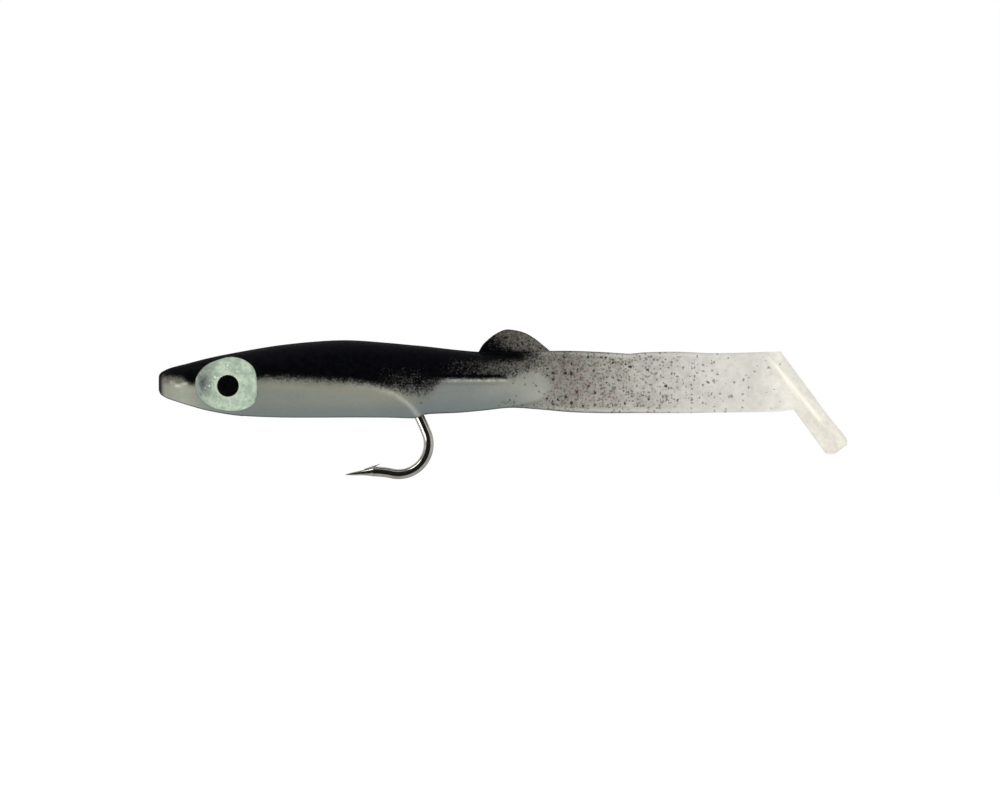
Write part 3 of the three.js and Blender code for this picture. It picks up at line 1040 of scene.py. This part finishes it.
def makeFin():
    base, sides = fin["base"], fin["sides"]
    start, end = fin["top"][0][0], fin["top"][-1][0]

    def pointAt(x, i):
        top = max(along(fin["top"], x)[0], base + 0.04)
        z = base + (top - base) * (0.5 + 0.5 * math.sin(turnOf(i, sides)))
        half = along(fin["halfThickness"], z)[0]
        nearTop = math.sqrt(max(0.0, 1 - smooth(top - 0.45, top, z) ** 2))
        ends = math.sqrt(max(0.02, min(1.0, x - start, (end - x) / 1.6)))
        ripple = 0.05 * noise.noise(Vector((x * 0.6, z * 0.8, 3.0)))
        return Vector((x, flankOf(i, sides) * half * nearTop * ends + ripple * smooth(5.5, 7, z), z))

    def coatOnFin(x, y, z):
        front = 1.38 - 1.12 * smooth(53.4, 60.5, x + (z - 5.5) * 0.6)
        return front + 0.5 * bell(5.0, 0.7, z) * (1 - smooth(58, 64, x))

    def darkOnFin(x, y, z):
        edge = along(fin["top"], x)[0]
        foot = 0.5 * bell(5.25, 0.3, z) * (1 - smooth(60, 64, x))
        return max(0.55 * smooth(edge - 0.3, edge - 0.02, z), foot)

    values = {
        "paint": evenly(2.5),
        "coat": coatOnFin,
        "speck": evenly(1.0),
        "smokeAndShade": lambda x, y, z: 0.68 - 0.22 * smooth(58, 64, x),
        "pale": evenly(0.0),
        "edge": evenly(0.0),
        "paintedShine": evenly(0.0),
        "dark": darkOnFin,
    }
    made = sweptSkin("fin_skin", sides, steps(start, end, fin["step"]), pointAt, values)
    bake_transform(made)
    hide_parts("dorsal_fin")


makeFin()
print("fin made")


# eyes: raised luminous pads round a black pupil

eye = {
    "outline": [
        [6.38, 1.1], [7.75, 2.85], [9.8, 3.85], [12.1, 4.4], [14.4, 3.9], [16.1, 2.45], [16.6, 0.2],
        [16.55, -2.2], [15.75, -3.75], [13.7, -4.6], [11.3, -4.65], [8.8, -4.0], [6.95, -2.5],
        [6.2, -0.75],
    ],
    "pupilRadius": 1.8,
    "proud": 0.5,
    "sunk": 0.4,  # how far the pad's rim is let into the cheek
    "bevel": 0.55,
    "facet": 1.9,  # the long slope at the front of the pad
    "shade": (7.6, 0.0),  # the middle of the dark patch on that slope
    # where glints are painted on the pad
    "glints": [(8.5, -0.6), (11.8, 2.7), (12.9, 1.9), (9.6, 1.1)],
    "lip": 0.35,  # how deep the pad goes in round the pupil
    "thick": 0.5,
    "sides": 96,
    "shares": [0, 0.02, 0.05, 0.09, 0.14, 0.2, 0.28, 0.38, 0.5, 0.62, 0.74, 0.84, 0.92, 0.97, 1.0],
    "pupilSides": 64,
    "pupilRings": [  # share of the radius, how far out
        [1.0, -0.5], [1.0, -0.1], [0.985, -0.04], [0.95, 0.0], [0.8, 0.03], [0.5, 0.06], [0.2, 0.07],
    ],
}
eyeLow, eyeHigh = (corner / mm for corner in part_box("left_pupil"))
eyeCentre = Vector((eyeHigh.x - eye["pupilRadius"] + 0.3, 0, (eyeLow.z + eyeHigh.z) / 2))


def padHeight(x, z, fromRim, forward):
    slope = eye["bevel"] + (eye["facet"] - eye["bevel"]) * forward
    rise = math.sqrt(max(0.0, 1 - (1 - min(1.0, fromRim / slope)) ** 2))
    extra = 0.5 * (1 - smooth(7.0, 10.5, x))
    return -eye["sunk"] + rise * (eye["sunk"] + eye["proud"] + extra)


# the front slope of the pad is in shade, darkest at its middle
def facetAt(x, y, z):
    middleX, middleZ = eye["shade"]
    deep = bell(0, 1, math.hypot((x - middleX) / 1.4, (z - middleZ) / 2.3))
    broad = 0.55 * (1 - smooth(8.2, 10.4, x)) * window(-2.6, 3.4, 0.9, z)
    return max(deep, broad) * smooth(6.1, 6.8, x)


def ringAt(x, y, z):
    return 0.5 * bell(eye["pupilRadius"] + 0.1, 0.28, math.hypot(x - eyeCentre.x, z - eyeCentre.z))


# painted glints on the pad, as flecks of white round a few spots
def paintedSparkleAt(x, y, z):
    return min(0.9, sum(1.1 * bell(0, 0.6, math.hypot(x - a, z - b)) for a, b in eye["glints"]))


def makeEye(name, side, replaced):
    bm = bmesh.new()

    def pointAt(share, i):
        rimX, rimZ = roundCurve(eye["outline"], eye["sides"], i)
        toRim = Vector((rimX, 0, rimZ)) - eyeCentre
        radius = toRim.length * (1 - share) + eye["pupilRadius"] * share
        outward = toRim.normalized()
        flat = eyeCentre + outward * radius
        forward = smooth(0.5, 0.95, -outward.x) * (1 - smooth(-0.1, 0.9, -outward.z))
        height = padHeight(flat.x, flat.z, toRim.length - radius, forward)
        if share > 0.985:
            height -= 0.12
        elif share > 0.9:
            height += 0.03
        return Vector((flat.x, side * (skinWidth(flat.x, flat.z) + height), flat.z))

    rim, inner = sweep(bm, eye["sides"], eye["shares"], pointAt)
    verts, edges = growRing(bm, inner)
    for vert in verts:
        vert.co.y -= side * eye["lip"] * mm
    bmesh.ops.contextual_create(bm, geom=edges)
    verts, edges = growRing(bm, rim)
    for vert in verts:
        vert.co.y = side * max(1.0, abs(vert.co.y) / mm - eye["thick"]) * mm
    bmesh.ops.contextual_create(bm, geom=edges)
    made = toObject(name, bm, luminousMaterial)
    addValues(made, "facet", facetAt)
    addValues(made, "ring", ringAt)
    addValues(made, "paintedSparkle", paintedSparkleAt)
    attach(made, "root")
    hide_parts(replaced)


def makePupil(name, side, replaced):
    bm = bmesh.new()
    cheek = skinWidth(eyeCentre.x, eyeCentre.z)
    radius = eye["pupilRadius"] - 0.02

    def pointAt(place, i):
        share, out = place
        angle = turnOf(i, eye["pupilSides"])
        x = eyeCentre.x + radius * share * math.cos(angle)
        z = eyeCentre.z + radius * share * math.sin(angle)
        tilt = (skinWidth(x, z) - cheek) * 0.9
        return Vector((x, side * (cheek + eye["proud"] + out + tilt), z))

    for edges in sweep(bm, eye["pupilSides"], eye["pupilRings"], pointAt):
        bmesh.ops.contextual_create(bm, geom=edges)
    made = toObject(name, bm, pupilMaterial)
    for face in made.data.polygons:
        face.use_smooth = True
    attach(made, "root")
    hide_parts(replaced)


for word, side in (("left", -1), ("right", 1)):
    makeEye(word + "_eye_pad", side, word + "_eye")
    makePupil(word + "_pupil_disc", side, word + "_pupil")
print("eyes made")


# hook: plated wire from the eye ring through the belly to the point

hook = {
    "wire": 0.82,
    "ring": 1.45,
    "ringWire": 0.6,
    "bendCentre": (40.06, -10.22),
    "bend": 5.04,
    "bendFrom": 26,
    "bendTo": -104,
    "shankEnd": (36.0, -0.17),
    "dip": [(39.5, -0.3), (41.9, -2.0)],  # between the shank's end and the belly, where it comes out
    "exit": (43.4, -5.36),
    "outside": (44.3, -7.2),
    "turnIn": (37.4, -14.82),
    "pointRoot": (35.9, -14.8),
    "pointTip": (31.1, -15.35),
    "sides": 28,
    "bendSteps": 60,
    "pointSteps": 30,
    "ringSides": 20,
    "ringSteps": 48,
    "barb": {"root": (34.4, -14.62), "tip": (37.05, -13.5), "thick": 0.34, "flat": 0.75},
}
ringPlace = jointPlace("hook_swing")


def curveBetween(controls, count):
    points = []
    degree = len(controls) - 1
    for k in range(count):
        t = k / count
        point = Vector((0, 0))
        for j, control in enumerate(controls):
            point += Vector(control) * math.comb(degree, j) * t**j * (1 - t) ** (degree - j)
        points.append(point)
    return points


# the wire's centreline, as pairs of a point and the wire's radius there
def hookLine():
    wire = hook["wire"]
    start = Vector((ringPlace.x + hook["ring"], ringPlace.z))
    centre = Vector(hook["bendCentre"])
    bendStart, bendEnd = (math.radians(hook[name]) for name in ("bendFrom", "bendTo"))

    def onBend(angle):
        return centre + Vector((math.cos(angle), math.sin(angle))) * hook["bend"]

    points = curveBetween([start, hook["shankEnd"]], 14)
    points += curveBetween([hook["shankEnd"], *hook["dip"], hook["exit"]], 26)
    points += curveBetween([hook["exit"], hook["outside"], onBend(bendStart)], 10)
    bendSteps, pointSteps = hook["bendSteps"], hook["pointSteps"]
    points += [onBend(bendStart + (bendEnd - bendStart) * k / bendSteps) for k in range(bendSteps)]
    points += curveBetween([onBend(bendEnd), hook["turnIn"], hook["pointRoot"]], 10)
    line = [(p, wire) for p in points]
    root, tip = Vector(hook["pointRoot"]), Vector(hook["pointTip"])
    for k in range(pointSteps + 1):
        share = k / pointSteps
        radius = wire * (1 - share) ** 0.8 * (1 - 0.25 * math.sin(math.pi * share)) + 0.015
        line.append((root.lerp(tip, share), radius))
    return line


def makeHook():
    bm = bmesh.new()
    line = hookLine()
    sides = hook["sides"]

    def pointAt(k, i):
        place, radius = line[k]
        before, after = line[max(0, k - 1)][0], line[min(len(line) - 1, k + 1)][0]
        direction = (after - before).normalized()
        angle = turnOf(i, sides)
        outward = Vector((-direction.y, direction.x)) * math.cos(angle) * radius
        return Vector((place.x + outward.x, math.sin(angle) * radius, place.y + outward.y))

    start, tipEdges = sweep(bm, sides, range(len(line)), pointAt)
    closeEnd(bm, start)
    bmesh.ops.contextual_create(bm, geom=tipEdges)

    # eye ring
    circle = bmesh.ops.create_circle(
        bm,
        segments=hook["ringSides"],
        radius=hook["ringWire"] * mm,
        matrix=Matrix.Translation((ringPlace + Vector((hook["ring"], 0, 0))) * mm),
    )["verts"]
    edges = list({e for v in circle for e in v.link_edges})
    bmesh.ops.spin(
        bm,
        geom=circle + edges,
        cent=ringPlace * mm,
        axis=(0, 1, 0),
        angle=2 * math.pi,
        steps=hook["ringSteps"],
        use_merge=True,
    )

    # barb: a sliver cut up from the point
    barb = hook["barb"]
    root = Vector((barb["root"][0], 0, barb["root"][1]))
    tip = Vector((barb["tip"][0], 0, barb["tip"][1]))
    turn = (tip - root).to_track_quat("Z", "Y").to_matrix().to_4x4()
    place = Matrix.Translation((root + tip) / 2 * mm) @ turn @ Matrix.Diagonal((1, barb["flat"], 1, 1))
    bmesh.ops.create_cone(
        bm,
        cap_ends=True,
        segments=16,
        radius1=barb["thick"] * mm,
        radius2=0.02 * mm,
        depth=(tip - root).length * mm,
        matrix=place,
    )
    made = toObject("hook_wire", bm, nickelMaterial)
    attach(made, "hook")
    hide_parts("hook")


makeHook()
print("hook made")

lead = frame["nodes"]["keel_weight"]
lead.data.materials.clear()
lead.data.materials.append(leadMaterial)


# studio: pale floor, white surroundings, soft lights

studio = {
    "floorBelow": 0.03,
    "floorSize": 3.0,
    "ground": 0.5,
    "sky": 0.74,
    "mirrored": (0.42, 0.62),  # the room in the plated wire and the vinyl's sheen, low and high
    "darkSide": 0.01,
    "darkToward": (-0.12, -1.0, 0.1),
    "softboxes": [
        {"toward": (-0.78, -0.52, -0.42), "edge": (0.93, 0.97), "strength": 2.2},
        {"toward": (-0.6, -0.35, 0.72), "edge": (0.95, 0.98), "strength": 2.2},
    ],
    "key": 0.9,
    "fill": 0.25,
}


# what the vinyl is lit by, what shiny surfaces mirror, and the white that the camera sees
def makeWorld():
    world = bpy.data.worlds.new("studioWorld")
    world.use_nodes = True
    tree = world.node_tree
    tree.nodes.clear()
    outward = addNode(tree, "TexCoord").outputs["Generated"]
    height = axesOf(tree, outward)["Z"]

    def toward(direction):
        inputs = {0: outward, 1: Vector(direction).normalized()}
        return addNode(tree, "VectorMath", {"operation": "DOT_PRODUCT"}, inputs).outputs["Value"]

    # the second light is for rays of that kind, the first for all others
    def chosenBy(ray, first, second):
        seen = addNode(tree, "LightPath").outputs[ray]
        return addNode(tree, "Mix", {"data_type": "FLOAT"}, {0: seen, 2: first, 3: second}).outputs[0]

    dark = studio["darkSide"]
    room = spread(tree, height, -1.0, 1.0, *studio["mirrored"])
    mirrored = spread(tree, toward(studio["darkToward"]), 0.5, 0.62, room, dark)
    behind = toward([-c for c in studio["darkToward"]])
    mirrored = calc(tree, "MULTIPLY", mirrored, spread(tree, behind, 0.78, 0.88, 1.0, dark))
    for softbox in studio["softboxes"]:
        glow = spread(tree, toward(softbox["toward"]), *softbox["edge"], 0.0, softbox["strength"])
        mirrored = calc(tree, "ADD", mirrored, glow)
    lit = spread(tree, height, -0.7, 0.6, studio["ground"], studio["sky"])
    strength = chosenBy("Is Camera Ray", chosenBy("Is Glossy Ray", lit, mirrored), 1.0)
    light = addNode(tree, "Background", inputs={"Color": (1, 1, 1, 1), "Strength": strength})
    addNode(tree, "OutputWorld", inputs={"Surface": light.outputs[0]})
    bpy.context.scene.world = world


def makeFloor():
    bm = bmesh.new()
    bmesh.ops.create_grid(bm, x_segments=2, y_segments=2, size=studio["floorSize"] / 2)
    low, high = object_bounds()
    middle = (low + high) / 2
    bmesh.ops.translate(bm, vec=(middle.x, middle.y, low.z - studio["floorBelow"]), verts=bm.verts)
    shading = {"Roughness": 0.9, "Emission Strength": 0.45, "Emission Color": (1, 1, 1, 1)}
    material, tree, surface = startMaterial("paleFloor", shading)
    cloud = noiseOf(tree, objectPlace(tree), 0.004)
    feed(tree, surface["Base Color"], mixed(tree, cloud, tone(246, 246, 245), tone(250, 250, 250)))
    floor = toObject("studio_floor", bm, material)
    floor.visible_glossy = False


def addLight(name, size, power, place, target):
    lamp = bpy.data.lights.new(name, "AREA")
    lamp.shape = "RECTANGLE"
    lamp.size, lamp.size_y = size
    lamp.energy = power
    made = bpy.data.objects.new(name, lamp)
    bpy.context.collection.objects.link(made)
    made.location = place
    made.rotation_euler = (Vector(target) - Vector(place)).to_track_quat("-Z", "Y").to_euler()
    made.visible_glossy = False


makeWorld()
makeFloor()
middle = (cadLow + cadHigh) / 2
addLight("keyLight", (0.5, 0.3), studio["key"], middle + Vector((-0.15, -0.35, 0.5)), middle)
addLight("fillLight", (0.5, 0.3), studio["fill"], middle + Vector((0.3, -0.45, 0.1)), middle)
scene = bpy.context.scene
scene.view_settings.view_transform = "Standard"
print("studio set")
